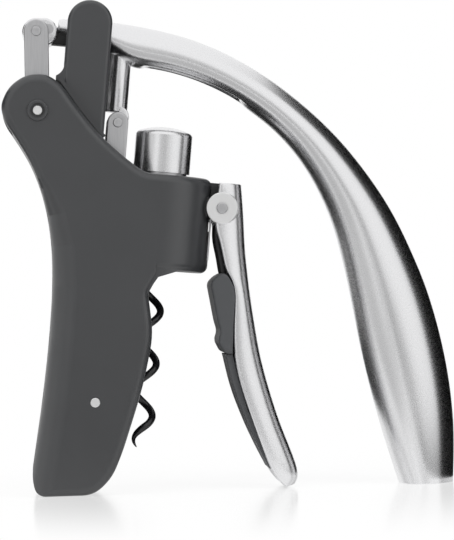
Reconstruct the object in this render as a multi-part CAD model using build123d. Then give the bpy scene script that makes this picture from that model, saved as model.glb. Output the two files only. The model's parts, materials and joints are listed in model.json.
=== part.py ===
from build123d import *
import math
import os

# A lever corkscrew. All sizes are millimetres in the tool frame: the worm axis is z,
# z = 0 is the mouth plane at the bottom of the barrel, x points from the handle to the
# lever, y goes across, and the near side of the tool is at negative y.

# Body and barrel
HALF = 17.7
BARREL_TOP = 31.4
CAVITY_HALF = 13.1
CAVITY_BACK = -35.6
CAVITY_LOW_BACK = -30.6
CAVITY_FLOOR = -22.0
BARREL_BORE = 15.0
DECK_UNDERSIDE = 28.8
DECK_SLOT = 9.8
TROUGH_RADIUS = 15.2
LINER_BORE = 14.5
LINER_Z = (-42.6, -3.0)
LOBE_SLOT_HALF = 9.0
LOBE_SLOT_FLOOR = 41.0
EDGE_ROUND = 2.6
SCREW_RADIUS = 1.2
SCREW_HEAD = 2.6
SCREW_END = -9.0
SCREW_SINK = 2.4
BOSS_RADIUS = 3.5
BOSS_BORE = 2.4
BOSS_HEIGHT = 0.6

# Soft round of the back edge as x, z, radius, from the lobe down past the heel
BACK_ROUND = ((-43.3, 31.7, 1.0), (-39.3, 23.5, 3.4), (-36.4, 14.8, 6.0), (-34.3, 5.0, 7.4),
              (-33.0, -8.0, 8.0), (-32.7, -25.0, 8.0), (-33.3, -45.0, 8.0), (-34.4, -62.0, 8.0),
              (-35.5, -80.0, 8.0))

# Pivots as x, z
ROCKER_PIVOT = (-42.5, 48.7)
LINK_PIVOT = (-45.0, 75.2)
LEVER_PIVOT = (-15.9, 47.5)
CLAMP_PIVOT = (20.4, 22.0)
HANDLE_RIVET = (-16.3, -44.7)
COVER_SCREWS = ((-40.6, 36.0), (-26.0, -24.0), (-24.0, -72.9))

# The tool stands on the handle foot, the clamp tip and the lever end
LEAN = 6.05
FOOT = (-22.0, -75.8)

# Corner points of the body outline as x, z, from the barrel top over the lobe and down the back
TOP_EDGE = ((0.0, BARREL_TOP), (-6.0, BARREL_TOP), (-13.5, 36.2), (-21.5, 42.3), (-29.0, 50.3))
LOBE_EDGE = ((-35.2, 57.8), (-40.3, 60.9), (-47.2, 60.2), (-52.6, 55.6), (-54.7, 49.3), (-53.0, 44.4))
BACK_EDGE = ((-48.4, 38.8), (-43.3, 31.7), (-39.3, 23.5), (-36.4, 14.8), (-34.3, 5.0), (-33.0, -8.0),
             (-32.7, -25.0), (-33.3, -45.0), (-34.9, -71.0))
HEEL = -32.8
TOE = -14.3
FRONT_EDGE = ((-8.9, -69.0), (-6.0, -60.1), (-1.0, -38.1), (0.9, -21.3), (-1.2, -11.0), (-1.9, -8.0),
              (0.0, -4.0))
THROAT = ((-3.0, -10.0), (-1.5, -6.4), (1.0, -2.3), (7.0, 0.0), (7.0, 2.0), (-3.0, 2.0))

# Uprights that guide the carriage
UPRIGHT_X = (-35.0, -20.3)
UPRIGHT_Y = (9.5, 12.9)
UPRIGHT_TOP = 86.6
UPRIGHT_BOTTOM = -21.6
UPRIGHT_ROUND = 1.5
FLARE = ((-34.9, 64.8), (-35.7, 62.4), (-37.4, 60.9))
FLARE_FOOT = ((-37.4, 59.7), (-35.4, 58.6))
RIM_PATH = ((-36.6, 59.4), (-35.2, 57.8), (-29.0, 50.3), (-21.5, 42.3), (-20.6, 41.6))
RIM_GAP = 0.25
RIM_WIDTH = 1.2
RIM_Y = (12.5, 13.9)
BUMPER_Z = (-18.2, -16.2)
SPACER = (-27.5, -19.85)

# Nut housing, guide nut and clamp lug
HOUSING_RADIUS = 14.9
HOUSING_TOP = 13.0
NUT_Z = (2.0, 11.9)
NUT_RADIUS = 8.0
NUT_BORE = 4.85
MOUTH_BORE = 5.4
LUG_HALF = 5.8
LUG_RADIUS = 4.8
LUG_SLOT_Z = 14.0
AXLE_RADIUS = 1.8
SPRING_RADIUS = 3.3
SPRING_WIRE = 0.3
SPRING_PITCH = 0.7
SPRING_LEG = 17.5

# Worm
WORM_RADIUS = 4.53
WIRE_RADIUS = 1.2
PITCH = 17.45
WORM_PHASE = -13.6
WORM_TIP = -59.2
TIP_LENGTH = 8.0
HELIX_TOP = 12.0
SHANK_BOTTOM = 17.0
SHANK_RADIUS = 2.2
SHANK_TOP = 35.0

# Carriage and knob
SLIDER_X = (-29.8, -21.2)
SLIDER_Z = (-16.0, 30.0)
SLIDER_HALF = 9.2
SEAT_Z = (21.0, 31.0)
SEAT_RADIUS = 9.0
BRIDGE_HALF = 8.6
PLATE_Y = (5.1, 7.1)
PLATE_HALF = 3.5
PLATE_FOOT = (-15.9, 25.5)
KNOB_RADIUS = 9.4
KNOB_Z = (32.4, 45.8)
KNOB_APEX = 47.6
KNOB_BORE = 7.4

# Links and lever
LINK_Y = (6.9, 8.7)
LINK_HALF = 4.0
PIN_RADIUS = 1.6
SLEEVE_RADIUS = 2.5
PLATE_ROUND = 0.5
END_ROUND = 0.35
MARK_RADIUS = 0.55
MARK_DEPTH = 0.25
RING_RADIUS = 2.0
RING_DEPTH = 0.3
TONGUE_HALF = 6.6
TONGUE_RADIUS = 4.65
ARM_HALF = 4.75
ARM_X = (-20.0, -13.4)
ARM_ROUND = 2.2
EYE_RADIUS = 3.6
RUN = 0.05
CROSS_PIN = (-41.0, 76.4)

# Lever stations as outer x, outer z, inner x, inner z, half width, from the neck to the end
LEVER_STATIONS = ((-38.0, 80.4, -38.0, 71.1, 9.0), (-27.0, 80.9, -27.0, 70.8, 9.0),
                  (-10.5, 80.2, -10.5, 66.2, 9.0), (-0.2, 78.8, -2.0, 66.3, 9.0),
                  (14.0, 75.3, 9.8, 63.4, 9.1), (30.2, 68.3, 23.4, 58.3, 9.3),
                  (45.6, 58.7, 37.0, 49.7, 9.6), (60.6, 46.3, 48.0, 38.4, 10.0),
                  (75.9, 28.7, 57.0, 23.6, 10.6), (86.0, 12.0, 62.6, 8.8, 11.2),
                  (93.0, -2.8, 67.0, -5.6, 11.7), (99.7, -22.0, 71.6, -21.8, 12.0),
                  (104.1, -42.0, 78.6, -42.6, 12.0), (105.3, -62.3, 87.5, -64.1, 11.8))
INNER_ROUND = 2.4
CHANNEL_WALL = 2.6
CHANNEL_START = 2
CHANNEL_DEPTHS = (0.68, 0.68, 0.66, 0.58, 0.42, 0.22)

# Clamp handle
CHEEK_Y = (8.2, 11.0)
HUB_RADIUS = 5.2
HUB_RECESS = 5.8
CLAMP_OUTER = ((26.6, 30.6), (28.2, 20.9), (29.6, 10.1), (31.2, 1.2), (35.3, -17.3), (38.3, -28.5),
               (44.8, -44.9), (50.3, -55.7), (53.3, -62.5))
CLAMP_TIP = ((52.8, -66.9), (49.6, -68.6), (46.4, -65.6))
CLAMP_INNER = ((40.1, -54.0), (34.4, -43.6), (30.6, -34.0), (28.0, -26.0), (27.4, -16.0), (27.3, -7.4),
               (26.7, -3.4), (25.4, -1.2), (22.9, 1.9), (21.6, 6.8), (20.2, 11.6), (18.6, 15.6))
CLAMP_KINK = (43.1, -59.9)
CLAMP_HEAD = (18.8, 30.4)
CLAMP_ROUND = 2.5
JAW_ROUND = 1.0
STRIP_ROUND = 0.4
CLAMP_WALL = 2.6
JAW_HALF = 11.6
STRIP_HALF = 9.6


def slab(sketch, low, high):
    """Extrude an x, z sketch across the tool from y = low to y = high."""
    return extrude(Plane.XZ.offset(-high) * sketch, high - low)


def region(*curves):
    """Face inside a closed chain of curves drawn in x, z."""
    return make_face([edge for curve in curves for edge in curve.edges()])


def polygon(*points):
    return region(Polyline(*points, close=True))


def smooth(*points, share=0.46):
    """Straight runs joined by tangent arcs as large as the runs allow."""
    radii = []
    for before, corner, after in zip(points, points[1:], points[2:]):
        arrive = Vector(corner[0] - before[0], corner[1] - before[1])
        leave = Vector(after[0] - corner[0], after[1] - corner[1])
        half_turn = math.radians(arrive.get_angle(leave)) / 2
        radii.append(share * min(arrive.length, leave.length) / math.tan(half_turn))
    return FilletPolyline(*points, radius=radii)


def disc(point, radius):
    return Pos(*point) * Circle(radius)


def strap(start, end, half_width):
    """Round-ended bar between two points."""
    run, rise = end[0] - start[0], end[1] - start[1]
    middle = ((start[0] + end[0]) / 2, (start[1] + end[1]) / 2)
    turn = math.degrees(math.atan2(rise, run))
    return Pos(*middle) * Rot(0, 0, turn) * SlotCenterToCenter(math.hypot(run, rise), 2 * half_width)


def pin(point, radius, low, high):
    return slab(disc(point, radius), low, high)


def tube(radius, low, high, bore=0.0):
    """Cylinder or ring about the worm axis."""
    stand_up = (Align.CENTER, Align.CENTER, Align.MIN)
    body = Pos(0, 0, low) * Cylinder(radius, high - low, align=stand_up)
    if bore:
        body -= Pos(0, 0, low) * Cylinder(bore, high - low, align=stand_up)
    return body


def block(x, y, z):
    """Box between pairs of limits."""
    size = (x[1] - x[0], y[1] - y[0], z[1] - z[0])
    return Pos(x[0], y[0], z[0]) * Box(*size, align=(Align.MIN, Align.MIN, Align.MIN))


def near_face_edges(body, y):
    """Edges that lie in the plane at y."""
    flat = [edge for edge in body.edges() if all(abs(vertex.Y - y) < 1e-3 for vertex in edge.vertices())]
    return [edge for edge in flat if abs(edge.center().Y - y) < 1e-3]


def rims_near(body, point, half):
    """On each side face of a piece, the edge that lies closest to an x, z point."""
    rims = []
    for y in (-half, half):
        target = Vector(point[0], y, point[1])
        rims.append(min(near_face_edges(body, y), key=lambda edge: edge.distance_to(target)))
    return rims


def rivet(point, radius, reach):
    """Pin across the tool with rounded ends and a small centre mark in each."""
    body = pin(point, radius, -reach, reach)
    body = fillet(rims_near(body, point, reach), END_ROUND)
    for end in (-reach, reach):
        body -= pin(point, MARK_RADIUS, end - MARK_DEPTH, end + MARK_DEPTH)
    return body


def floor_z(x):
    """Height of the table under x while the tool stands."""
    return FOOT[1] + math.tan(math.radians(LEAN)) * (x - FOOT[0])


# Covers
def body_outline():
    sole = ((HEEL, floor_z(HEEL)), (TOE, floor_z(TOE)))
    edge = TOP_EDGE + LOBE_EDGE + BACK_EDGE + sole + FRONT_EDGE
    return region(smooth(*edge), Line(edge[-1], edge[0]))


def barrel_shell():
    barrel = tube(HALF, 0, BARREL_TOP)
    return fillet(barrel.edges().filter_by(GeomType.CIRCLE), EDGE_ROUND)


def back_round():
    """What the soft round takes off the back edge of the near cover."""
    sections = []
    for index, (x, z, radius) in enumerate(BACK_ROUND):
        before = BACK_ROUND[max(index - 1, 0)]
        after = BACK_ROUND[min(index + 1, len(BACK_ROUND) - 1)]
        heading = Vector(after[0] - before[0], 0, after[1] - before[1])
        plane = Plane((x, -HALF, z), x_dir=(-heading.Z, 0, heading.X), z_dir=heading)
        lip = math.copysign(1.5, plane.y_dir.Y)
        deep = math.copysign(radius, plane.y_dir.Y)
        sag = 1.03 * (1 - math.sqrt(0.5))
        corner = Polyline((radius, 0), (radius, -lip), (-1.5, -lip), (-1.5, deep), (0, deep))
        curve = ThreePointArc((0, deep), (sag * radius, sag * deep), (radius, 0))
        sections.append(plane * region(corner, curve))
    return loft(sections, ruled=True)


def pivot_boss():
    boss = pin(ROCKER_PIVOT, BOSS_RADIUS, -HALF - BOSS_HEIGHT, -HALF + 2)
    return fillet(near_face_edges(boss, -HALF - BOSS_HEIGHT), 0.8 * BOSS_HEIGHT)


def cover_shell():
    shell = slab(body_outline(), -HALF, 0)
    rim = [edge for edge in near_face_edges(shell, -HALF) if abs(edge.center().X) > 0.05]
    shell = fillet(rim, EDGE_ROUND) - back_round() + pivot_boss()
    near_half = block((-80, 80), (-HALF - 1, 0), (-90, 90))
    shell += barrel_shell() & near_half
    shell += slab(polygon(*THROAT), -HALF, 0) & tube(HALF - 0.6, -12, 4)
    cavity = polygon((CAVITY_LOW_BACK, CAVITY_FLOOR), (-16.5, CAVITY_FLOOR), (-16.5, -2.0), (-9.0, 2.0),
                     (-9.0, 90.0), (CAVITY_BACK, 90.0), (CAVITY_BACK, 24.0), (CAVITY_LOW_BACK, 6.0))
    shell -= slab(cavity, -CAVITY_HALF, 1)
    shell -= tube(BARREL_BORE, -0.5, DECK_UNDERSIDE)
    shell -= tube(DECK_SLOT, 0, BARREL_TOP + 1)
    shell -= block((-20, 0), (-DECK_SLOT, 1), (DECK_UNDERSIDE - 1, BARREL_TOP + 10))
    shell -= tube(TROUGH_RADIUS, -90, 0)
    shell -= block((-70, CAVITY_BACK + 1), (-LOBE_SLOT_HALF, 1), (LOBE_SLOT_FLOOR, 90))
    hollow = polygon((-29.6, -27.0), (-20.6, -27.0), (-20.6, -66.0), (-24.0, -69.6), (-30.6, -69.6))
    shell -= slab(hollow, -14.2, 1)
    shell -= block((9, HALF + 5), (-LUG_HALF - 0.1, 1), (LUG_SLOT_Z, BARREL_TOP + 5))
    shell -= pin(CLAMP_PIVOT, HUB_RECESS, -HALF - 1, -CHEEK_Y[0] + 0.4)
    shell -= pin(HANDLE_RIVET, PIN_RADIUS, -HALF - 1, 1)
    shell -= pin(ROCKER_PIVOT, PIN_RADIUS, -HALF - 1, 1)
    shell -= pin(ROCKER_PIVOT, BOSS_BORE, -HALF - 1, -HALF + 0.5)
    return shell


def near_cover():
    shell = cover_shell()
    for screw in COVER_SCREWS:
        shell -= pin(screw, SCREW_RADIUS + RUN, SCREW_END - RUN, 1)
    return shell


def far_cover():
    shell = mirror(cover_shell(), about=Plane.XZ)
    for screw in COVER_SCREWS:
        shell -= pin(screw, SCREW_RADIUS + RUN, -1, HALF + 1)
        shell -= pin(screw, SCREW_HEAD, HALF - SCREW_SINK, HALF + 1)
    return shell


def cover_screws():
    screws = []
    for screw in COVER_SCREWS:
        body = pin(screw, SCREW_RADIUS, SCREW_END, HALF - 1)
        body += pin(screw, SCREW_HEAD - 0.1, HALF - SCREW_SINK + RUN, HALF - 0.6)
        slot = slab(Pos(*screw) * Rectangle(2 * SCREW_HEAD, 0.7), HALF - 1.2, HALF)
        screws.append(body - slot)
    return screws[0] + screws[1:]


def neck_liner():
    ring = tube(TROUGH_RADIUS, *LINER_Z, bore=LINER_BORE)
    return ring & block((-40, -6.0), (-40, 40), (-90, 0))


def handle_rivet():
    return rivet(HANDLE_RIVET, PIN_RADIUS, HALF + 0.2)


def near_pivot_stub():
    body = pin(ROCKER_PIVOT, PIN_RADIUS, -HALF - 0.2, -LINK_Y[1] - 0.25)
    return fillet(near_face_edges(body, -HALF - 0.2), END_ROUND)


# Frame inside the covers
def upright_rim():
    """Raised rim that follows the top edge of the cover."""
    low = [(x + 0.74 * RIM_GAP, z + 0.67 * RIM_GAP) for x, z in RIM_PATH]
    reach = RIM_GAP + RIM_WIDTH
    high = [(x + 0.74 * reach, z + 0.67 * reach) for x, z in reversed(RIM_PATH)]
    return slab(polygon(*low, *high), -RIM_Y[1], -RIM_Y[0])


def near_upright():
    width = UPRIGHT_X[1] - UPRIGHT_X[0]
    crown = ((UPRIGHT_X[0] + UPRIGHT_X[1]) / 2, UPRIGHT_TOP - width / 2)
    low_back = CAVITY_LOW_BACK + 0.4
    strip = polygon((low_back, UPRIGHT_BOTTOM), (UPRIGHT_X[1], UPRIGHT_BOTTOM), (UPRIGHT_X[1], crown[1]),
                    (UPRIGHT_X[0], crown[1]), (UPRIGHT_X[0], 25.0), (low_back, 7.0))
    plate = slab(strip + disc(crown, width / 2), -UPRIGHT_Y[1], -UPRIGHT_Y[0])
    shown = [edge for edge in near_face_edges(plate, -UPRIGHT_Y[1]) if edge.center().Z > 26]
    plate = fillet(shown, UPRIGHT_ROUND)
    inner = UPRIGHT_X[0] + 2
    foot = Polyline(FLARE[2], *FLARE_FOOT, (inner, FLARE_FOOT[1][1]), (inner, FLARE[0][1]), FLARE[0])
    flare = slab(region(ThreePointArc(*FLARE), foot), -UPRIGHT_Y[1] + 0.3, -UPRIGHT_Y[0])
    return plate + flare + upright_rim() - pin(SPACER, PIN_RADIUS, -HALF, 0)


def upright_spacer():
    return pin(SPACER, PIN_RADIUS, -UPRIGHT_Y[1], UPRIGHT_Y[1])


def stop_bumper():
    return block((SLIDER_X[0] + 1, SLIDER_X[1] - 1), (-UPRIGHT_Y[0] + 0.2, UPRIGHT_Y[0] - 0.2), BUMPER_Z)


def nut_housing():
    body = tube(HOUSING_RADIUS, 0, HOUSING_TOP)
    body -= tube(NUT_RADIUS, NUT_Z[0], HOUSING_TOP + 1)
    body -= tube(MOUTH_BORE, -1, NUT_Z[0] + 1)
    lug = polygon((9.9, 6.0), (13.4, 6.0), (13.4, 14.2), (17.2, 18.4), (22.0, 26.0), (20.8, 30.2),
                  (9.9, 30.2))
    body += slab(lug + disc(CLAMP_PIVOT, LUG_RADIUS), -LUG_HALF, LUG_HALF)
    return body - pin(CLAMP_PIVOT, AXLE_RADIUS, -HALF, HALF)


def guide_nut():
    """Bushing with one peg that runs in the gap of the worm."""
    low, high = NUT_Z
    body = tube(NUT_RADIUS, low, high, bore=NUT_BORE)
    middle = (low + high) / 2
    wire_turn = 360 * (middle - WORM_PHASE) / PITCH
    peg = Cylinder(1.3, 4.6, align=(Align.CENTER, Align.CENTER, Align.MIN))
    peg = Pos(1.7, 0, middle) * Rot(0, 90, 0) * peg
    return body + peg.rotate(Axis.Z, wire_turn + 180)


def nut_retainer():
    return tube(9.6, HOUSING_TOP, HOUSING_TOP + 1.0, bore=MOUTH_BORE)


def clamp_axle():
    return rivet(CLAMP_PIVOT, AXLE_RADIUS, CHEEK_Y[1] + 1.1)


def near_clamp_spring():
    """Two turns about the clamp axle, the last one running out into a leg down the barrel."""
    coil = Helix(pitch=SPRING_PITCH, height=2 * SPRING_PITCH, radius=SPRING_RADIUS)
    leg = Line(coil @ 1, coil @ 1 + Vector(0, SPRING_LEG, 0))
    section = Plane(coil @ 0, z_dir=coil % 0) * Circle(SPRING_WIRE)
    wire = sweep(section, path=Wire([coil, leg]), is_frenet=True)
    across = Rot(90, 0, 0) * Rot(0, 0, 180) * wire
    return Pos(CLAMP_PIVOT[0], -LUG_HALF - 0.5, CLAMP_PIVOT[1]) * across


# Carriage, knob and worm
def carriage_block():
    slider = block(SLIDER_X, (-SLIDER_HALF, SLIDER_HALF), SLIDER_Z)
    window = block((SLIDER_X[0] + 2.6, SLIDER_X[1] - 2.6), (-20, 20), (SLIDER_Z[0] + 4, SEAT_Z[0] - 4))
    bridge = block((SLIDER_X[1] - 1, 0), (-BRIDGE_HALF, BRIDGE_HALF), (SEAT_Z[0], SLIDER_Z[1]))
    pocket_x = (PLATE_FOOT[0] - PLATE_HALF - 0.2, PLATE_FOOT[0] + PLATE_HALF + 0.2)
    body = slider - window + bridge + tube(SEAT_RADIUS, *SEAT_Z)
    for side in (-1, 1):
        reach = sorted((side * PLATE_Y[0], side * 20))
        body -= block(pocket_x, reach, (SEAT_Z[0] - 1, SLIDER_Z[1] + 1))
    body -= tube(SHANK_RADIUS + RUN, 0, 60)
    return body - pin(PLATE_FOOT, PIN_RADIUS, -20, 20)


def plate_with_holes(outline, holes, y):
    """Plate with a soft outer rim and a sunk ring round each hole, near side."""
    plate = slab(outline, -y[1], -y[0])
    plate = fillet(near_face_edges(plate, -y[1]), PLATE_ROUND)
    for hole in holes:
        plate -= pin(hole, PIN_RADIUS, -20, 0) + pin(hole, RING_RADIUS, -20, -y[1] + RING_DEPTH)
    return plate


def near_clevis_plate():
    return plate_with_holes(strap(PLATE_FOOT, LEVER_PIVOT, PLATE_HALF), (PLATE_FOOT, LEVER_PIVOT), PLATE_Y)


def clevis_pin():
    return rivet(LEVER_PIVOT, PIN_RADIUS, PLATE_Y[1] + 0.2)


def carriage_rivet():
    return rivet(PLATE_FOOT, PIN_RADIUS, PLATE_Y[1] + 0.2)


def knob_cap():
    low, high = KNOB_Z
    edge = high - 1.0
    shoulder = (KNOB_RADIUS - 1.4, high + 0.45)
    rise = KNOB_APEX - shoulder[1]
    crown = (shoulder[0] ** 2 + rise ** 2) / (2 * rise)
    halfway = math.asin(shoulder[0] / crown) / 2
    middle = (crown * math.sin(halfway), KNOB_APEX - crown * (1 - math.cos(halfway)))
    side = Polyline((0, low), (KNOB_RADIUS, low), (KNOB_RADIUS, edge))
    corner = ThreePointArc((KNOB_RADIUS, edge), (KNOB_RADIUS - 0.45, high - 0.1), shoulder)
    dome = ThreePointArc(shoulder, middle, (0, KNOB_APEX))
    profile = region(side, corner, dome, Line((0, KNOB_APEX), (0, low)))
    return revolve(Plane.XZ * profile, Axis.Z) - tube(KNOB_BORE, low - 1, high - 2.5)


def knob_collar():
    return tube(KNOB_RADIUS - 1.0, SEAT_Z[1], KNOB_Z[0], bore=2 * SHANK_RADIUS)


def thrust_washer():
    return tube(4.0, SEAT_Z[1], SEAT_Z[1] + 0.7, bore=SHANK_RADIUS + RUN)


def worm_clip():
    return tube(3.6, SEAT_Z[1] + 0.8, SEAT_Z[1] + 1.8, bore=SHANK_RADIUS)


def worm_collar():
    return tube(3.8, SEAT_Z[0] - 2.4, SEAT_Z[0] - 0.1, bore=SHANK_RADIUS)


def worm_section(z):
    """Wire section at height z: drawn in to a point at the tip, and to the axis under the shank."""
    taper = math.sin(min(1.0, (z - WORM_TIP) / TIP_LENGTH) * math.pi / 2)
    blend = max(0.0, (z - HELIX_TOP) / (SHANK_BOTTOM - HELIX_TOP))
    wire = WIRE_RADIUS * (0.14 + 0.86 * taper) + (SHANK_RADIUS - WIRE_RADIUS) * blend

    def centre(height):
        turn = 2 * math.pi * (height - WORM_PHASE) / PITCH
        reach = (WORM_RADIUS - WIRE_RADIUS) * (0.42 + 0.58 * taper) * (0.5 + 0.5 * math.cos(math.pi * blend))
        return Vector(reach * math.cos(turn), reach * math.sin(turn), height)

    outward = (centre(z).X, centre(z).Y, 0) if blend < 1 else (1, 0, 0)
    heading = centre(z + 0.01) - centre(z - 0.01)
    return Plane(centre(z), x_dir=outward, z_dir=heading) * Circle(wire)


def worm_run(low, high, steps):
    return loft([worm_section(low + (high - low) * step / steps) for step in range(steps + 1)])


def worm():
    low = WORM_TIP + TIP_LENGTH
    helix = Helix(PITCH, HELIX_TOP - low, WORM_RADIUS - WIRE_RADIUS, center=(0, 0, low))
    helix = helix.rotate(Axis.Z, 360 * (low - WORM_PHASE) / PITCH)
    turns = sweep(worm_section(low), path=helix, is_frenet=True)
    point = worm_run(WORM_TIP, low, 3)
    neck = worm_run(HELIX_TOP, SHANK_BOTTOM, 6)
    return point + turns + neck + tube(SHANK_RADIUS, SHANK_BOTTOM, SHANK_TOP)


# Links and lever
def near_link():
    return plate_with_holes(strap(ROCKER_PIVOT, LINK_PIVOT, LINK_HALF), (LINK_PIVOT,), LINK_Y)


def link_pin():
    return rivet(LINK_PIVOT, PIN_RADIUS, LINK_Y[1] + 0.2)


def link_sleeve():
    return pin(ROCKER_PIVOT, SLEEVE_RADIUS, -LINK_Y[0], LINK_Y[0])


def station_plane(station):
    outer_x, outer_z, inner_x, inner_z, half = station
    run, rise = outer_x - inner_x, outer_z - inner_z
    plane = Plane((inner_x, 0, inner_z), x_dir=(0, 1, 0), z_dir=(rise, 0, -run))
    return plane, math.hypot(run, rise), half


def lever_section(station):
    """Flat on the inner side, round on the outer side."""
    plane, depth, half = station_plane(station)
    corner = half - INNER_ROUND
    flat = Line((-corner, 0), (corner, 0))
    right = CenterArc((corner, INNER_ROUND), INNER_ROUND, -90, 90)
    crown = EllipticalCenterArc((0, INNER_ROUND), half, depth - INNER_ROUND, 0, arc_size=180)
    left = CenterArc((-corner, INNER_ROUND), INNER_ROUND, 180, 90)
    return plane * region(flat, right, crown, left)


def channel_section(station, share):
    plane, depth, half = station_plane(station)
    return plane * Pos(0, share * depth / 2 - 1) * Rectangle(2 * (half - CHANNEL_WALL), share * depth + 2)


def lever_handle():
    body = loft([lever_section(station) for station in LEVER_STATIONS])
    open_stations = zip(LEVER_STATIONS[CHANNEL_START:], CHANNEL_DEPTHS)
    body -= loft([channel_section(station, share) for station, share in open_stations])
    arm = slab(polygon((ARM_X[0], 72.0), (ARM_X[0], 53.0), (LEVER_PIVOT[0] - EYE_RADIUS, LEVER_PIVOT[1]),
                       (LEVER_PIVOT[0] + EYE_RADIUS, LEVER_PIVOT[1]), (ARM_X[1], 53.0), (ARM_X[1], 72.0)),
               -ARM_HALF, ARM_HALF)
    upright_edges = [edge for edge in arm.edges().filter_by(Axis.Z) if edge.center().Z > 55]
    body += fillet(upright_edges, ARM_ROUND) + pin(LEVER_PIVOT, EYE_RADIUS, -ARM_HALF, ARM_HALF)
    tongue = strap(LINK_PIVOT, (LEVER_STATIONS[0][0] + 3, LINK_PIVOT[1] + 0.5), TONGUE_RADIUS)
    body += slab(tongue, -TONGUE_HALF, TONGUE_HALF)
    body -= pin(LINK_PIVOT, PIN_RADIUS + RUN, -20, 20)
    body -= pin(LEVER_PIVOT, PIN_RADIUS + RUN, -20, 20)
    return body - pin(CROSS_PIN, PIN_RADIUS, -20, 20)


def lever_cross_pin():
    return pin(CROSS_PIN, PIN_RADIUS, -TONGUE_HALF - 0.15, TONGUE_HALF + 0.15)


# Clamp handle
def clamp_handle():
    outer = CLAMP_OUTER + CLAMP_TIP + (CLAMP_KINK,)
    inner = (CLAMP_KINK,) + CLAMP_INNER
    outline = region(smooth(*outer), smooth(*inner), Polyline(inner[-1], CLAMP_HEAD, outer[0]))
    body = slab(outline, -CHEEK_Y[1], CHEEK_Y[1])
    rims = rims_near(body, CLAMP_OUTER[len(CLAMP_OUTER) // 2], CHEEK_Y[1])
    body = fillet(rims, CLAMP_ROUND) + pin(CLAMP_PIVOT, HUB_RADIUS, -CHEEK_Y[1], CHEEK_Y[1])
    back = tuple((x - CLAMP_WALL, z) for x, z in CLAMP_OUTER[:-1])
    inside = polygon((0, 40), (back[0][0], 40), *back, (0, back[-1][1]))
    body -= slab(inside, -CHEEK_Y[0], CHEEK_Y[0])
    return body - pin(CLAMP_PIVOT, AXLE_RADIUS + RUN, -HALF, HALF)


def near_hub_washer():
    outer = -CHEEK_Y[1] - 0.7
    washer = fillet(near_face_edges(pin(CLAMP_PIVOT, HUB_RADIUS, outer, -CHEEK_Y[1]), outer), END_ROUND)
    washer -= pin(CLAMP_PIVOT, RING_RADIUS + 0.2, outer - 1, outer + RING_DEPTH)
    return washer - pin(CLAMP_PIVOT, AXLE_RADIUS + RUN, -HALF, 0)


def grip(face, back, half, radius):
    """Rubber pad with soft rims along the face that meets the bottle or the hand."""
    pad = slab(region(face, back), -half, half)
    middle = face @ 0.5
    return fillet(rims_near(pad, (middle.X, middle.Y), half), radius)


def clamp_jaw():
    face = smooth((23.8, 0.2), (22.4, 0.8), (20.2, -0.7), (18.5, -3.0), (21.9, -15.5), (23.2, -18.6),
                  (22.4, -21.8), (24.8, -25.6), (27.6, -25.8))
    back = Polyline((27.6, -25.8), (27.1, -16.0), (27.0, -7.0), (26.3, -3.6), (25.0, -1.4), (23.8, 0.2))
    return grip(face, back, JAW_HALF, JAW_ROUND)


def clamp_strip():
    face = smooth((25.4, -25.9), (29.2, -37.6), (34.8, -48.9), (39.4, -56.8), (43.0, -62.4))
    back = Polyline((43.0, -62.4), (44.2, -62.4), (42.6, -60.1), (39.9, -54.2), (34.2, -43.8), (30.4, -34.2),
                    (27.8, -25.9), (25.4, -25.9))
    return grip(face, back, STRIP_HALF, STRIP_ROUND)


def mirrored(near_part):
    return mirror(near_part, about=Plane.XZ)


def make_parts():
    """Every piece by name, in the tool frame."""
    pieces = {function.__name__: function() for function in (
        near_cover, far_cover, cover_screws, neck_liner, handle_rivet, near_pivot_stub, near_upright,
        upright_spacer, stop_bumper, nut_housing, guide_nut, nut_retainer, clamp_axle, near_clamp_spring,
        carriage_block, near_clevis_plate, clevis_pin, carriage_rivet, knob_cap, knob_collar, thrust_washer,
        worm, worm_collar, worm_clip, near_link, link_pin, link_sleeve, lever_handle, lever_cross_pin,
        clamp_handle, near_hub_washer, clamp_jaw, clamp_strip)}
    for near in [name for name in pieces if name.startswith("near_") and name != "near_cover"]:
        pieces[near.replace("near_", "far_", 1)] = mirrored(pieces[near])
    return pieces


def stand(pieces):
    """Lean the tool onto its foot and put the middle of its footprint at the origin."""
    leaned = {name: piece.rotate(Axis.Y, LEAN) for name, piece in pieces.items()}
    boxes = [piece.bounding_box() for piece in leaned.values()]
    left = min(box.min.X for box in boxes)
    right = max(box.max.X for box in boxes)
    bottom = min(box.min.Z for box in boxes)
    shift = Pos(-(left + right) / 2, 0, -bottom)
    return {name: shift * piece for name, piece in leaned.items()}, shift


if __name__ == "__main__":
    os.makedirs("parts", exist_ok=True)
    for name, piece in stand(make_parts())[0].items():
        export_step(piece, f"parts/{name}.step")
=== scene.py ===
# %% [markdown]
# # A lever corkscrew in a white studio
# The solids of the tool come in as a fixed frame, already at their real size and place. This lesson gives
# every surface its finish, models the pieces whose softness the plain solids lack, and lights the tool as a
# product photographer would: on a white sweep, with cards and dark flags for the metal to mirror.

# %% Load the frame
import json
import math
import bpy
from mathutils import Matrix, Quaternion, Vector


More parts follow.
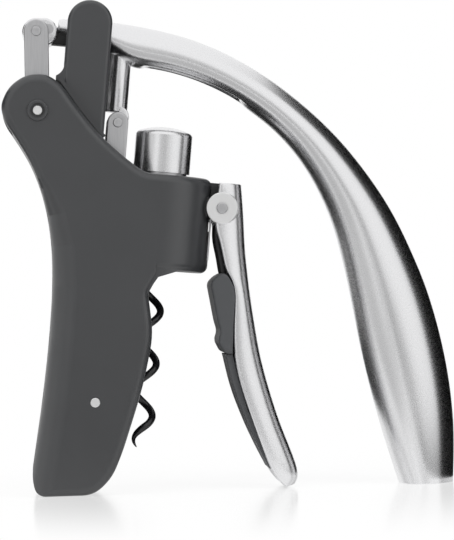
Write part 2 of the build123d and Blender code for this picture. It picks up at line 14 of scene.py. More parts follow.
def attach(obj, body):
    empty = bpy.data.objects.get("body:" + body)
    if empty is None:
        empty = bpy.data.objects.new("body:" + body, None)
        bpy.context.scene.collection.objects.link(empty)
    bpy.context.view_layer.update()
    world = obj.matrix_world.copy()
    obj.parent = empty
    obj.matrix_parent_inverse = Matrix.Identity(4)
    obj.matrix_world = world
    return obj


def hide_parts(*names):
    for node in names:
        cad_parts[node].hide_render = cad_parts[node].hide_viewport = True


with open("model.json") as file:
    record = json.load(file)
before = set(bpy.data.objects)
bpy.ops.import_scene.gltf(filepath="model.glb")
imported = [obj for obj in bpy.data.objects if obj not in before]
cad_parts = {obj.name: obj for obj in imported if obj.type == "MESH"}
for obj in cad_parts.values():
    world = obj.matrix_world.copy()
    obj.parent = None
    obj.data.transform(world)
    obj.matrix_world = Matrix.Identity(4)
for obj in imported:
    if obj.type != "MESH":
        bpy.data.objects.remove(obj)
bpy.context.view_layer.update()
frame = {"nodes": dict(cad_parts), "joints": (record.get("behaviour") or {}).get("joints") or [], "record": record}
MM = 0.001

# %% [markdown]
# ## The tool frame
# The tool stands a little tilted on its feet. All of its own sizes are easier to give along and across the
# worm, so one helper turns millimetres along the worm axis into places in the scene. The joint of the worm in
# the record says where that axis is, so nothing has to be fitted by eye.

# %% Worm axis from the record
joints = {joint["name"]: joint for joint in frame["joints"]}
worm_foot = Vector(joints["worm_turn"]["pos_m"])
worm_up = Vector(joints["worm_turn"]["axis"]).normalized()
tool_right = Vector((worm_up.z, 0, -worm_up.x))
lean = math.asin(worm_up.x)


def tool_point(x, z):
    """The place x right of the worm axis and z above the barrel's mouth, in millimetres."""
    return worm_foot + (tool_right * x + worm_up * z) * MM


print("the worm leans", round(math.degrees(lean), 2), "degrees")

# %% [markdown]
# ## Camera
# The picture was taken from far away with a long lens, level with the middle of the tool and a little from
# the handle's side, and the camera was tipped so that the table line rises to the right. A long lens keeps
# the pieces in proportion. Its focal length follows from the distance and from how many pixels a millimetre
# covers.

# %% Camera
IMAGE_HEIGHT = 540
PIXELS_PER_MM = 3.0
CAMERA_DISTANCE = 0.9
CAMERA_AZIMUTH = math.radians(-4.0)
CAMERA_ROLL = math.radians(-1.55)
SENSOR = 36.0
AIM = tool_point(24.4, 1.9)
back = Vector((math.sin(CAMERA_AZIMUTH), -math.cos(CAMERA_AZIMUTH), 0))
bpy.ops.object.camera_add(location=AIM + back * CAMERA_DISTANCE)
camera = bpy.context.object
camera.data.sensor_width = SENSOR
camera.data.lens = SENSOR * PIXELS_PER_MM * CAMERA_DISTANCE / MM / IMAGE_HEIGHT
camera.rotation_mode = "QUATERNION"
level_view = (-back).to_track_quat("-Z", "Y")
camera.rotation_quaternion = level_view @ Quaternion((0, 0, 1), CAMERA_ROLL)
bpy.context.scene.camera = camera
print("lens", round(camera.data.lens, 1), "mm")

# %% [markdown]
# ## Finishes
# Each finish is a small node tree that reads Object coordinates, so its grain keeps its size on every piece.
# A few helpers keep the trees short: one starts a material, one makes a grain, and three let that grain vary
# the roughness, the tone or the height of the surface.

# %% Finish helpers
GRAIN_DETAIL = 3.0
EVEN = (1, 1, 1)


def shader_of(finish):
    return finish.node_tree.nodes["Principled BSDF"]


def new_finish(name, settings):
    """Material whose shader starts with the given settings."""
    finish = bpy.data.materials.new(name)
    finish.use_nodes = True
    for socket, value in settings.items():
        shader_of(finish).inputs[socket].default_value = value
    return finish


def grain(finish, grain_mm, stretch=EVEN):
    """Value that varies in lumps grain_mm across, drawn out along the axes with a small stretch value."""
    nodes, links = finish.node_tree.nodes, finish.node_tree.links
    place = nodes.new("ShaderNodeTexCoord")
    mapping = nodes.new("ShaderNodeMapping")
    mapping.inputs["Scale"].default_value = stretch
    mapping.inputs["Rotation"].default_value = (0, -lean, 0)
    noise = nodes.new("ShaderNodeTexNoise")
    noise.inputs["Scale"].default_value = 1 / (grain_mm * MM)
    noise.inputs["Detail"].default_value = GRAIN_DETAIL
    links.new(place.outputs["Object"], mapping.inputs["Vector"])
    links.new(mapping.outputs["Vector"], noise.inputs["Vector"])
    return noise.outputs["Fac"]


def vary_roughness(finish, value, low, high):
    spread = finish.node_tree.nodes.new("ShaderNodeMapRange")
    spread.inputs["To Min"].default_value = low
    spread.inputs["To Max"].default_value = high
    finish.node_tree.links.new(value, spread.inputs["Value"])
    finish.node_tree.links.new(spread.outputs["Result"], shader_of(finish).inputs["Roughness"])


def vary_tone(finish, value, dark, light):
    ramp = finish.node_tree.nodes.new("ShaderNodeValToRGB")
    ramp.color_ramp.elements[0].color = (*dark, 1)
    ramp.color_ramp.elements[1].color = (*light, 1)
    finish.node_tree.links.new(value, ramp.inputs["Fac"])
    finish.node_tree.links.new(ramp.outputs["Color"], shader_of(finish).inputs["Base Color"])


def vary_height(finish, value, depth_mm):
    bump = finish.node_tree.nodes.new("ShaderNodeBump")
    bump.inputs["Strength"].default_value = 1.0
    bump.inputs["Distance"].default_value = depth_mm * MM
    finish.node_tree.links.new(value, bump.inputs["Height"])
    finish.node_tree.links.new(bump.outputs["Normal"], shader_of(finish).inputs["Normal"])


# %% [markdown]
# ### Metal
# The lever, the clamp handle and the knob are plated and finely blasted, so they mirror the room softly. The
# link plates and pins are brushed steel, with strokes along the tool. Rivet ends and hub washers are the
# brightest spots of the picture, so they get a paler metal of their own.

# %% Metal finishes
def satin_chrome():
    finish = new_finish("satin_chrome", {"Base Color": (0.82, 0.82, 0.83, 1), "Metallic": 1.0})
    fine = grain(finish, 0.25)
    vary_roughness(finish, fine, 0.23, 0.31)
    vary_height(finish, fine, 0.0008)
    return finish


def brushed_steel():
    finish = new_finish("brushed_steel", {"Metallic": 1.0})
    strokes = grain(finish, 0.2, stretch=(1, 1, 0.03))
    vary_tone(finish, strokes, (0.52, 0.52, 0.53), (0.70, 0.70, 0.71))
    vary_roughness(finish, strokes, 0.28, 0.42)
    vary_height(finish, strokes, 0.004)
    return finish


def bright_rivet():
    finish = new_finish("bright_rivet", {"Base Color": (0.92, 0.92, 0.92, 1), "Metallic": 1.0})
    vary_roughness(finish, grain(finish, 0.3), 0.36, 0.48)
    return finish


# %% [markdown]
# ### Paint, rubber and plastic
# The covers have a satin slate paint with a faint broad mottle. The worm has a smooth black coat, the jaw is
# matt grey rubber, and what lies inside is dark moulded plastic. All of them are dark, so their highlights
# tell them apart: each has its own range of roughness.

# %% Dark finishes
def slate_paint():
    finish = new_finish("slate_paint", {"Specular IOR Level": 0.8})
    fine = grain(finish, 0.35)
    vary_tone(finish, grain(finish, 14.0), (0.0225, 0.0234, 0.025), (0.0275, 0.0286, 0.0306))
    vary_roughness(finish, fine, 0.30, 0.40)
    vary_height(finish, fine, 0.006)
    return finish


def black_coat():
    finish = new_finish("black_coat", {"Base Color": (0.006, 0.006, 0.007, 1)})
    fine = grain(finish, 0.5)
    vary_roughness(finish, fine, 0.16, 0.26)
    vary_height(finish, fine, 0.006)
    return finish


def grey_rubber():
    finish = new_finish("grey_rubber", {"Roughness": 0.62})
    fine = grain(finish, 0.3)
    vary_tone(finish, fine, (0.044, 0.046, 0.049), (0.056, 0.058, 0.061))
    vary_height(finish, fine, 0.012)
    return finish


# Dark moulded plastic for the inner parts; the same finish is painted shade on the web under the lever's neck and,
# in part, on the strips inside the clamp channel
def dark_moulding_and_shade():
    finish = new_finish("dark_moulding_and_shade", {"Base Color": (0.02, 0.02, 0.021, 1)})
    fine = grain(finish, 0.6)
    vary_roughness(finish, fine, 0.42, 0.58)
    vary_height(finish, fine, 0.008)
    return finish


# %% [markdown]
# ### Dressing the solids
# The record names a material slot for every solid, so the finish of a solid follows from its slot. Only the
# rivet ends and hub washers leave that rule.

# %% Dress the solids
BRIGHT_NODES = ("near_pivot_stub", "far_pivot_stub", "handle_rivet", "near_hub_washer", "far_hub_washer")
finish_of_slot = {"body_paint": slate_paint(), "satin_chrome": satin_chrome(), "pin_steel": brushed_steel(),
                  "worm_black": black_coat(), "grip_rubber": grey_rubber(), "inner_plastic": dark_moulding_and_shade()}
finish_of_slot["upright_paint"] = finish_of_slot["body_paint"]
rivet_finish = bright_rivet()
slot_of_node = {part["node"]: part["material_slot"] for part in frame["record"]["subparts"]}
for name, solid in frame["nodes"].items():
    finish = rivet_finish if name in BRIGHT_NODES else finish_of_slot[slot_of_node[name]]
    solid.data.materials.clear()
    solid.data.materials.append(finish)
print("dressed", len(frame["nodes"]), "solids")

# %% [markdown]
# ## Helpers for modelling
# Edit-mode operators work on what is selected. Picking points or faces by where they are keeps every step
# readable and repeatable, so one helper does only that and leaves edit mode open for the next operator. The
# others join pieces, smooth a piece, and give it its finish and the body that it rides on.

# %% Picking and joining
def pick(piece, kind, test):
    """Select only the points (VERT) or faces (FACE) that pass a test, and stay in edit mode."""
    bpy.ops.object.mode_set(mode="EDIT")
    bpy.ops.mesh.select_mode(type=kind)
    bpy.ops.mesh.select_all(action="DESELECT")
    bpy.ops.object.mode_set(mode="OBJECT")
    for element in piece.data.vertices if kind == "VERT" else piece.data.polygons:
        element.select = test(element)
    bpy.ops.object.mode_set(mode="EDIT")


def join_into(main, others):
    for each in (main, *others):
        each.select_set(True)
    bpy.context.view_layer.update()
    bpy.context.view_layer.objects.active = main
    bpy.ops.object.join()


# %% Smoothing and finishing
SMOOTH_ANGLE = math.radians(40)
SOFT_LEVELS = 2


def smooth_piece(piece, name, levels):
    """Turn the faces outwards, settle the piece's place in its mesh and subdivide its cage."""
    bpy.ops.object.mode_set(mode="EDIT")
    bpy.ops.mesh.select_all(action="SELECT")
    bpy.ops.mesh.normals_make_consistent(inside=False)
    bpy.ops.object.mode_set(mode="OBJECT")
    bpy.ops.object.transform_apply(location=True, rotation=True, scale=True)
    if levels:
        softness = piece.modifiers.new("softness", "SUBSURF")
        softness.levels = levels
        softness.render_levels = levels
        bpy.ops.object.modifier_apply(modifier="softness")
    bpy.ops.object.shade_smooth_by_angle(angle=SMOOTH_ANGLE)
    piece.name = name
    piece.data.name = name


def finish_piece(piece, body, slot, node):
    """Dress a piece, let it ride on a body and, where there is one, hide the solid that it replaces."""
    piece.data.materials.clear()
    piece.data.materials.append(finish_of_slot[slot])
    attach(piece, body)
    if node:
        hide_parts(node)
    print(piece.name, len(piece.data.polygons), "faces on", body)


# %% [markdown]
# ## Lever
# The lever is one casting with a satin plating: slim at the neck, broad and deep at the end, and flatter
# underneath than on top. Extruding one section again and again would carry every small error along, so one
# D-shaped ring is shaped once, copied to stations along the handle, joined, bridged and smoothed by
# subdivision, which gives the long clean reflections of the real one.

# %% Lever stations
# Each station is the outer point and the inner point, as x and z along the tool, and half the width there
LEVER_STATIONS = ((-38.0, 80.4, -38.0, 75.2, 8.0), (-33.0, 80.8, -33.0, 74.2, 8.8),
                  (-24.0, 80.9, -24.0, 71.6, 9.0), (-18.4, 80.7, -18.4, 69.6, 9.0),
                  (-12.6, 80.3, -12.6, 66.6, 9.0), (-0.2, 78.8, -2.0, 65.6, 9.0),
                  (14.0, 75.3, 9.8, 63.2, 9.1), (30.2, 68.3, 23.4, 57.9, 9.3),
                  (45.6, 58.7, 37.0, 49.3, 9.6), (60.6, 46.3, 48.0, 38.0, 10.0),
                  (75.9, 28.7, 57.0, 23.4, 10.6), (86.0, 12.0, 62.6, 8.8, 11.2),
                  (93.2, -2.8, 67.0, -5.6, 11.7), (99.8, -22.0, 71.6, -21.8, 12.0),
                  (104.1, -42.0, 78.6, -42.6, 12.0), (105.4, -60.9, 86.8, -62.6, 11.8),
                  (105.4, -62.3, 87.5, -64.1, 11.8))
NEAR_WEIGHT = 9 / 16
FAR_WEIGHT = 1 / 16


def finer(stations):
    """A station halfway between each two, on the smooth curve through their neighbours."""
    result = [stations[0]]
    for index in range(1, len(stations)):
        before = stations[max(index - 2, 0)]
        after = stations[min(index + 1, len(stations) - 1)]
        sizes = zip(before, stations[index - 1], stations[index], after)
        result.append(tuple(NEAR_WEIGHT * (left + right) - FAR_WEIGHT * (first + last)
                            for first, left, right, last in sizes))
        result.append(stations[index])
    return result


lever_stations = finer(LEVER_STATIONS)
print("lever stations", len(lever_stations))

# %% Skin over stations
def station_place(station, growth):
    """Matrix that puts a unit ring at a station: x across the tool, y from the inner to the outer point."""
    outer = tool_point(station[0], station[1])
    inner = tool_point(station[2], station[3])
    rise = outer - inner
    across = Vector((0, 1, 0))
    outward = rise.normalized()
    turn = Matrix((across, outward, across.cross(outward))).transposed().to_4x4()
    size = Matrix.Diagonal((station[4] * MM * growth, rise.length * growth, 1, 1))
    return Matrix.Translation(inner - rise * (growth - 1) / 2) @ turn @ size


def skin(ring, stations, growth):
    """Copy a unit ring to every station, join the rings, bridge them in order and fill both ends."""
    bpy.ops.object.mode_set(mode="OBJECT")
    rings = [ring]
    while len(rings) < len(stations):
        bpy.ops.object.duplicate()
        rings.append(bpy.context.object)
    for each, station in zip(rings, stations):
        each.matrix_world = station_place(station, growth)
    join_into(ring, rings[1:])
    bpy.ops.object.transform_apply(location=True, rotation=True, scale=True)
    bpy.ops.object.mode_set(mode="EDIT")
    bpy.ops.mesh.select_all(action="SELECT")
    bpy.ops.mesh.bridge_edge_loops()
    bpy.ops.mesh.select_all(action="SELECT")
    bpy.ops.mesh.fill_holes(sides=0)
    bpy.ops.mesh.normals_make_consistent(inside=False)
    print("rings", len(stations))
    return ring


# %% [markdown]
# ### Section of the lever
# The section is a circle whose upper half is squeezed less than its lower half, which makes it rounder on
# top. It is one unit high, so that a station only has to scale it.

# %% Lever ring
RING_POINTS = 24
UNDERSIDE_SHARE = 0.42
RING_CENTRE = (0, 0, 0)
HALF_MARGIN = 0.01
bpy.ops.object.select_all(action="DESELECT")
bpy.ops.mesh.primitive_circle_add(vertices=RING_POINTS, radius=1)
ring = bpy.context.object
pick(ring, "VERT", lambda point: point.co.y > HALF_MARGIN)
bpy.ops.transform.resize(value=(1, 1 - UNDERSIDE_SHARE, 1), center_override=RING_CENTRE)
pick(ring, "VERT", lambda point: point.co.y < -HALF_MARGIN)
bpy.ops.transform.resize(value=(1, UNDERSIDE_SHARE, 1), center_override=RING_CENTRE)
pick(ring, "VERT", lambda point: True)
bpy.ops.transform.translate(value=(0, UNDERSIDE_SHARE, 0))
print("ring points", len(ring.data.vertices))

# %% [markdown]
# ### Skin and pocket of the lever
# Bridging skins the rings in order, and the two open ends are filled. Subdivision draws a cage in a little,
# so the cage is made slightly too large. The underside beside the arm is a pocket, so its faces are inset and
# sunk before the cage is subdivided.

# %% Lever skin
CAGE_GROWTH = 1.014
QUAD_CORNERS = 4
END_LIP = 0.0012
POCKET_X = (-9.0, 24.0)
POCKET_FACING = -0.96
POCKET_WALL = 0.0009
POCKET_DEPTH = 0.0040
lever = skin(ring, lever_stations, CAGE_GROWTH)
pick(lever, "FACE", lambda face: len(face.vertices) > QUAD_CORNERS)
bpy.ops.mesh.inset(thickness=END_LIP)


def in_pocket(face):
    """Faces that look down into the hand, between the arm and the bend."""
    along = (face.center - worm_foot).dot(tool_right) / MM
    nearest = min(LEVER_STATIONS, key=lambda station: abs((station[0] + station[2]) / 2 - along))
    outward = (tool_point(nearest[0], nearest[1]) - tool_point(nearest[2], nearest[3])).normalized()
    return POCKET_X[0] < along < POCKET_X[1] and face.normal.dot(outward) < POCKET_FACING


pick(lever, "FACE", in_pocket)
bpy.ops.mesh.inset(thickness=POCKET_WALL, depth=-POCKET_DEPTH)
smooth_piece(lever, "lever_grip", SOFT_LEVELS)
finish_piece(lever, "lever", "satin_chrome", "lever_handle")

# %% [markdown]
# ## Tongue and web of the lever
# The tongue is the thick end between the rocker plates. A thin web joins it to the neck; its dark finish is
# painted shade under the neck.
# Both are round-ended bars across the tool. A cylinder whose right half is moved away makes such a bar at
# once, and a bevel takes off its sharp rims.

# %% Bar between two pivots
BAR_CORNERS = 64
BAR_MIDDLE = 0.00001
RIM_SEGMENTS = 3
RIM_ANGLE = math.radians(50)


def round_rim(piece, width):
    """Bevel the sharp rims of the active piece, width in millimetres."""
    rim = piece.modifiers.new("rim", "BEVEL")
    rim.width = width * MM
    rim.segments = RIM_SEGMENTS
    rim.angle_limit = RIM_ANGLE
    bpy.ops.object.modifier_apply(modifier="rim")


def cross_bar(ends, radius, half_width, rim_width):
    """Round-ended bar across the tool, between two points given as x and z along the tool."""
    start, end = (tool_point(*point) for point in ends)
    bpy.ops.object.select_all(action="DESELECT")
    bpy.ops.mesh.primitive_cylinder_add(vertices=BAR_CORNERS, radius=radius * MM, depth=2 * half_width * MM,
                                        location=start, rotation=(math.pi / 2, 0, 0))
    bar = bpy.context.object
    bpy.ops.object.transform_apply(location=False, rotation=True, scale=True)
    pick(bar, "VERT", lambda point: point.co.dot(tool_right) > BAR_MIDDLE)
    bpy.ops.transform.translate(value=end - start)
    bpy.ops.object.mode_set(mode="OBJECT")
    round_rim(bar, rim_width)
    return bar


# %% Tongue and web
TONGUE_ENDS = ((-45.0, 75.2), (-42.6, 75.4))
TONGUE_RADIUS = 4.6
TONGUE_HALF = 6.5
TONGUE_RIM = 0.7
WEB_ENDS = ((-40.0, 74.6), (-30.0, 74.6))
WEB_RADIUS = 2.8
WEB_HALF = 4.0
WEB_RIM = 0.5
tongue = cross_bar(TONGUE_ENDS, TONGUE_RADIUS, TONGUE_HALF, TONGUE_RIM)
smooth_piece(tongue, "lever_tongue", levels=0)
finish_piece(tongue, "lever", "satin_chrome", "lever_handle")
# The web's dark moulding finish is painted shade under the lever's neck
web = cross_bar(WEB_ENDS, WEB_RADIUS, WEB_HALF, WEB_RIM)
smooth_piece(web, "lever_painted_shade_web", levels=0)
finish_piece(web, "lever", "inner_plastic", "lever_handle")

# %% [markdown]
# ## Arm of the lever
# The arm is a rounded column that goes down between the two steel plates and ends in an eye. An upright
# cylinder squeezed to the column's section gives the column, and a short bar across the tool gives the eye.

# %% Arm
ARM_X = (-20.4, -12.9)
ARM_Z = (51.2, 76.0)
ARM_HALF = 4.7
ARM_CORNERS = 48
ARM_RIM = 0.4
EYE_ENDS = ((-15.9, 47.5), (-15.8, 49.6))
EYE_RADIUS = 3.5
bpy.ops.object.select_all(action="DESELECT")
bpy.ops.mesh.primitive_cylinder_add(vertices=ARM_CORNERS, radius=1, depth=(ARM_Z[1] - ARM_Z[0]) * MM,
                                    location=tool_point(sum(ARM_X) / 2, sum(ARM_Z) / 2),
                                    rotation=(0, lean, 0))
arm = bpy.context.object
arm.scale = ((ARM_X[1] - ARM_X[0]) / 2 * MM, ARM_HALF * MM, 1)
bpy.ops.object.transform_apply(location=True, rotation=True, scale=True)
round_rim(arm, ARM_RIM)
eye = cross_bar(EYE_ENDS, EYE_RADIUS, ARM_HALF, ARM_RIM)
join_into(arm, [eye])
smooth_piece(arm, "lever_arm", levels=0)
finish_piece(arm, "lever", "satin_chrome", "lever_handle")

# %% [markdown]
# ## Clamp handle
# The clamp handle is a plated channel, open towards the bottle, whose back is softly crowned. It is made
# like the lever: one C-shaped ring, with the wall's thickness in it, is copied to stations from the head to
# the tip.

# %% Clamp skin
CLAMP_STATIONS = ((26.6, 30.6, 18.8, 30.4, 10.6), (26.8, 29.4, 18.7, 29.2, 11.0),
                  (27.6, 24.5, 18.2, 22.0, 11.0), (28.5, 18.0, 18.6, 15.6, 11.0),
                  (29.4, 10.6, 20.2, 11.4, 11.0), (30.3, 5.2, 21.8, 6.2, 11.0),
                  (31.2, 0.6, 23.2, 1.8, 11.0), (32.4, -5.6, 26.6, -4.2, 11.0),
                  (35.2, -17.3, 27.1, -16.8, 11.0), (38.3, -28.5, 29.2, -31.2, 11.0),
                  (44.6, -44.9, 36.6, -48.8, 11.0), (49.9, -55.7, 42.0, -60.2, 10.8),
                  (52.8, -62.4, 44.8, -64.6, 10.2), (52.9, -65.6, 47.3, -67.1, 9.2),
                  (52.0, -67.4, 49.4, -68.3, 7.6))
CLAMP_SIDE = ((1.0, 0.0), (0.995, 0.18), (0.975, 0.36), (0.93, 0.54), (0.85, 0.72), (0.72, 0.88),
              (0.52, 0.97), (0.26, 1.0))
CLAMP_CROWN = ((0.0, 1.0),)
CLAMP_INSIDE = ((0.24, 0.66), (0.72, 0.62), (0.75, 0.0))
CLAMP_GROWTH = 1.01


def mirrored(points):
    return tuple((-across, rise) for across, rise in reversed(points))


clamp_ring = CLAMP_SIDE + CLAMP_CROWN + mirrored(CLAMP_SIDE) + mirrored(CLAMP_INSIDE) + CLAMP_INSIDE
bpy.ops.object.select_all(action="DESELECT")
bpy.ops.mesh.primitive_circle_add(vertices=len(clamp_ring), radius=1)
ring = bpy.context.object
for point, (across, rise) in zip(ring.data.vertices, clamp_ring):
    point.co = (across, rise, 0)
clamp = skin(ring, finer(CLAMP_STATIONS), CLAMP_GROWTH)
smooth_piece(clamp, "clamp_shell", SOFT_LEVELS)

# %% [markdown]
# ### Cheeks of the hinge
# Two short discs make the round cheeks of the hinge. They are joined to the channel after it is subdivided,
# so that their rims stay crisp.

# %% Clamp cheeks
CHEEK_ENDS = ((20.4, 22.0), (20.8, 22.0))
CHEEK_RADIUS = 5.15
CHEEK_Y = 9.55
CHEEK_HALF = 1.35
CHEEK_RIM = 0.3
cheeks = []
for side in (-1, 1):
    cheek = cross_bar(CHEEK_ENDS, CHEEK_RADIUS, CHEEK_HALF, CHEEK_RIM)
    cheek.location.y = side * CHEEK_Y * MM
    cheeks.append(cheek)
join_into(clamp, cheeks)
bpy.ops.object.shade_smooth_by_angle(angle=SMOOTH_ANGLE)
finish_piece(clamp, "clamp", "satin_chrome", "clamp_handle")

# %% [markdown]
# ## Dark strips of the clamp handle
# Inside each wall of the channel lies a dark strip. It stands for the dark spring and for the shade inside the
# channel, so its darkness is partly painted shade, and it shows as a black line between the barrel and the bright
# wall. One flat ring, skinned along five stations, gives a strip, and its copy goes to the other wall.

# %% Clamp strips of spring and painted shade
STRIP_STATIONS = ((20.2, 17.0, 18.5, 16.8, 0.5), (20.6, 12.0, 18.8, 11.7, 0.5), (21.6, 8.5, 19.9, 8.2, 0.5),
                  (22.7, 5.2, 20.9, 4.9, 0.5), (24.2, -0.6, 22.2, -1.2, 0.5))
STRIP_GROWTH = 1.0
STRIP_Y = 6.6
STRIP_CORNERS = 8
bpy.ops.object.select_all(action="DESELECT")
bpy.ops.mesh.primitive_circle_add(vertices=STRIP_CORNERS, radius=1)
ring = bpy.context.object
for point in ring.data.vertices:
    point.co = (point.co.x, (1 + point.co.y) / 2, 0)
spring_shade_strip = skin(ring, STRIP_STATIONS, STRIP_GROWTH)
bpy.ops.transform.translate(value=(0, -STRIP_Y * MM, 0))
bpy.ops.mesh.duplicate()
bpy.ops.transform.translate(value=(0, 2 * STRIP_Y * MM, 0))
smooth_piece(spring_shade_strip, "clamp_spring_and_shade_strip", SOFT_LEVELS)
# The strips' dark finish is partly painted shade inside the clamp channel
finish_piece(spring_shade_strip, "clamp", "inner_plastic", None)

# %% [markdown]
# ## Floor
# The tool stands on a white sweep that shows a soft mirror image close to its feet and pure white farther
# out. One shader does both: a white glow, with a share of matt and of sheen that fades with the distance from
# the middle. Rays that only carry light see a plain matt floor, so that the glow doesn't light the tool from
# below.

# %% Node helpers for the studio
def blended(tree, first, second, share):
    """Shader that goes from the first to the second as the share goes from 0 to 1."""
    mix = tree.nodes.new("ShaderNodeMixShader")
    tree.links.new(share, mix.inputs["Fac"])
    tree.links.new(first, mix.inputs[1])
    tree.links.new(second, mix.inputs[2])
    return mix.outputs["Shader"]


def larger(tree, first, second):
    """The larger of two values, so either of two kinds of ray counts."""
    either = tree.nodes.new("ShaderNodeMath")
    either.operation = "MAXIMUM"
    tree.links.new(first, either.inputs[0])
    tree.links.new(second, either.inputs[1])
    return either.outputs["Value"]


def near_middle(tree, strength, reach):
    """A value that fades from strength near the middle to nothing on the open floor."""
    place = tree.nodes.new("ShaderNodeTexCoord")
    away = tree.nodes.new("ShaderNodeVectorMath")
    away.operation = "LENGTH"
    fade = tree.nodes.new("ShaderNodeMapRange")
    fade.interpolation_type = "SMOOTHSTEP"
    fade.inputs["From Min"].default_value, fade.inputs["From Max"].default_value = reach
    fade.inputs["To Min"].default_value = strength
    fade.inputs["To Max"].default_value = 0.0
    tree.links.new(place.outputs["Object"], away.inputs[0])
    tree.links.new(away.outputs["Value"], fade.inputs["Value"])
    return fade.outputs["Result"]


# %% Floor
FLOOR_SIZE = 6.0
FLOOR_Z = -0.0002
FLOOR_TONE = 0.9
FADE_REACH = (0.03, 0.19)
MIRROR = 0.34
MIRROR_BLUR = 0.16
SHADE = 0.10
bpy.ops.object.select_all(action="DESELECT")
bpy.ops.mesh.primitive_plane_add(size=FLOOR_SIZE, location=(0, 0, FLOOR_Z))
floor = bpy.context.object
floor.name = "floor"
floor_paint = bpy.data.materials.new("white_sweep")
floor_paint.use_nodes = True
tree = floor_paint.node_tree
tree.nodes.clear()
output = tree.nodes.new("ShaderNodeOutputMaterial")
white = tree.nodes.new("ShaderNodeEmission")
matt = tree.nodes.new("ShaderNodeBsdfDiffuse")
matt.inputs["Color"].default_value = (FLOOR_TONE, FLOOR_TONE, FLOOR_TONE, 1)
sheen = tree.nodes.new("ShaderNodeBsdfGlossy")
sheen.inputs["Color"].default_value = (1, 1, 1, 1)
sheen.inputs["Roughness"].default_value = MIRROR_BLUR
path = tree.nodes.new("ShaderNodeLightPath")
seen = larger(tree, path.outputs["Is Camera Ray"], path.outputs["Is Glossy Ray"])
shaded = blended(tree, white.outputs["Emission"], matt.outputs["BSDF"], near_middle(tree, SHADE, FADE_REACH))
polished = blended(tree, shaded, sheen.outputs["BSDF"], near_middle(tree, MIRROR, FADE_REACH))
tree.links.new(blended(tree, matt.outputs["BSDF"], polished, seen), output.inputs["Surface"])
floor.data.materials.append(floor_paint)
print("floor", FLOOR_SIZE, "m wide")

# %% [markdown]
# ## World
# The room is white wherever it is seen, directly, in metal or through glass, and gives a weaker even light to
# everything else, so that the softboxes can still shape the tool.

# %% World
AMBIENT = 0.38
world = bpy.data.worlds.new("white_room")
bpy.context.scene.world = world
world.use_nodes = True
tree = world.node_tree
room = tree.nodes["Background"]
room.inputs["Color"].default_value = (1, 1, 1, 1)
path = tree.nodes.new("ShaderNodeLightPath")
seen = larger(tree, path.outputs["Is Camera Ray"], path.outputs["Is Glossy Ray"])
seen = larger(tree, seen, path.outputs["Is Transmission Ray"])
level = tree.nodes.new("ShaderNodeMapRange")
level.inputs["To Min"].default_value = AMBIENT
level.inputs["To Max"].default_value = 1.0
tree.links.new(seen, level.inputs["Value"])
tree.links.new(level.outputs["Result"], room.inputs["Strength"])
print("room light", AMBIENT)

# %% [markdown]
# ## Softboxes
# Three large lamps light the matt paint from above and from both sides. Reflections don't see them, because
# what the metal mirrors comes from cards alone and can then be set on its own.

# %% Softboxes
def softbox(name, place, size, power):
    bpy.ops.object.light_add(type="AREA", location=place)
    lamp = bpy.context.object
    lamp.name = name
    lamp.data.shape = "RECTANGLE"
    lamp.data.size, lamp.data.size_y = size
    lamp.data.energy = power
    lamp.visible_glossy = False
    lamp.rotation_mode = "QUATERNION"
    lamp.rotation_quaternion = (AIM - lamp.location).to_track_quat("-Z", "Y")
    print(name, power, "W")


softbox("overhead_box", AIM + Vector((-0.15, -0.25, 0.9)), (0.7, 0.5), 4.0)
softbox("left_box", AIM + Vector((-0.9, -0.4, 0.2)), (0.4, 0.9), 7.0)
softbox("right_box", AIM + Vector((0.7, -0.6, 0.2)), (0.4, 0.9), 8.0)

# %% [markdown]
# ## Cards and flags
# What makes metal look like metal is what it mirrors. Grey cards stand behind the camera and to the left. A
# large black flag stands to the right, out of the picture: the outer edges of the lever and the clamp mirror
# it and turn dark against the white. A smaller flag on the left darkens the inner edges. More cards lie on
# the floor, because the lower half of every round piece mirrors the floor. A card has a clear back, so those
# on the floor don't darken the floor's own mirror image.

# %% Card helpers
FLOOR_CARD_Z = 0.001


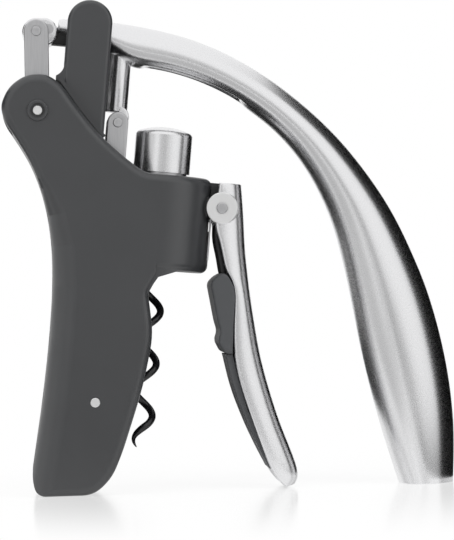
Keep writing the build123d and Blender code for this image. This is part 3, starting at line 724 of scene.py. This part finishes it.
def card(name, place, facing, size, brightness):
    """Card that only reflections see, and only from its front."""
    bpy.ops.object.select_all(action="DESELECT")
    bpy.ops.mesh.primitive_plane_add(size=1, location=place)
    sheet = bpy.context.object
    sheet.name = name
    sheet.scale = (*size, 1)
    sheet.rotation_mode = "QUATERNION"
    sheet.rotation_quaternion = Vector(facing).to_track_quat("Z", "Y")
    coat = bpy.data.materials.new(name + "_coat")
    coat.use_nodes = True
    tree = coat.node_tree
    tree.nodes.clear()
    glow = tree.nodes.new("ShaderNodeEmission")
    glow.inputs["Color"].default_value = (brightness, brightness, brightness, 1)
    clear = tree.nodes.new("ShaderNodeBsdfTransparent")
    side = tree.nodes.new("ShaderNodeNewGeometry")
    result = tree.nodes.new("ShaderNodeOutputMaterial")
    front = blended(tree, glow.outputs["Emission"], clear.outputs["BSDF"], side.outputs["Backfacing"])
    tree.links.new(front, result.inputs["Surface"])
    sheet.data.materials.append(coat)
    sheet.visible_camera = False
    sheet.visible_diffuse = False
    sheet.visible_shadow = False
    print(name, "brightness", brightness)


def floor_card(name, right, behind, size, brightness):
    """Card that lies on the floor and faces up, placed right of the aim and behind the tool's middle."""
    card(name, Vector((AIM.x + right, behind, FLOOR_CARD_Z)), (0, 0, 1), size, brightness)


# %% Cards and flags
card("grey_card", AIM + back * 1.30, -back, (0.70, 1.25), 0.56)
card("left_card", AIM + Vector((-0.71, -0.55, 0.1)), (0.79, 0.61, 0), (0.45, 0.9), 0.72)
card("right_flag", AIM + Vector((0.36, 0.385, 0.2)), (-1, 0, 0), (1.03, 0.6), 0.004)
card("left_flag", AIM + Vector((-0.42, 0.19, 0.21)), (1, 0, 0), (0.70, 0.3), 0.01)
card("low_card", AIM + Vector((0.24, -1.0, -0.04)), (0, 1, 0), (0.42, 0.09), 0.12)
floor_card("front_floor_flag", 0.24, -0.75, (0.42, 0.60), 0.12)
floor_card("left_floor_card", -0.25, -0.32, (0.50, 0.50), 0.55)
floor_card("back_floor_flag", -0.185, 0.25, (0.35, 0.50), 0.02)
floor_card("right_floor_flag", 0.218, 0.15, (0.284, 0.60), 0.01)

# %% [markdown]
# ## View
# The Standard view shows white as white.

# %% View settings
bpy.context.scene.view_settings.view_transform = "Standard"
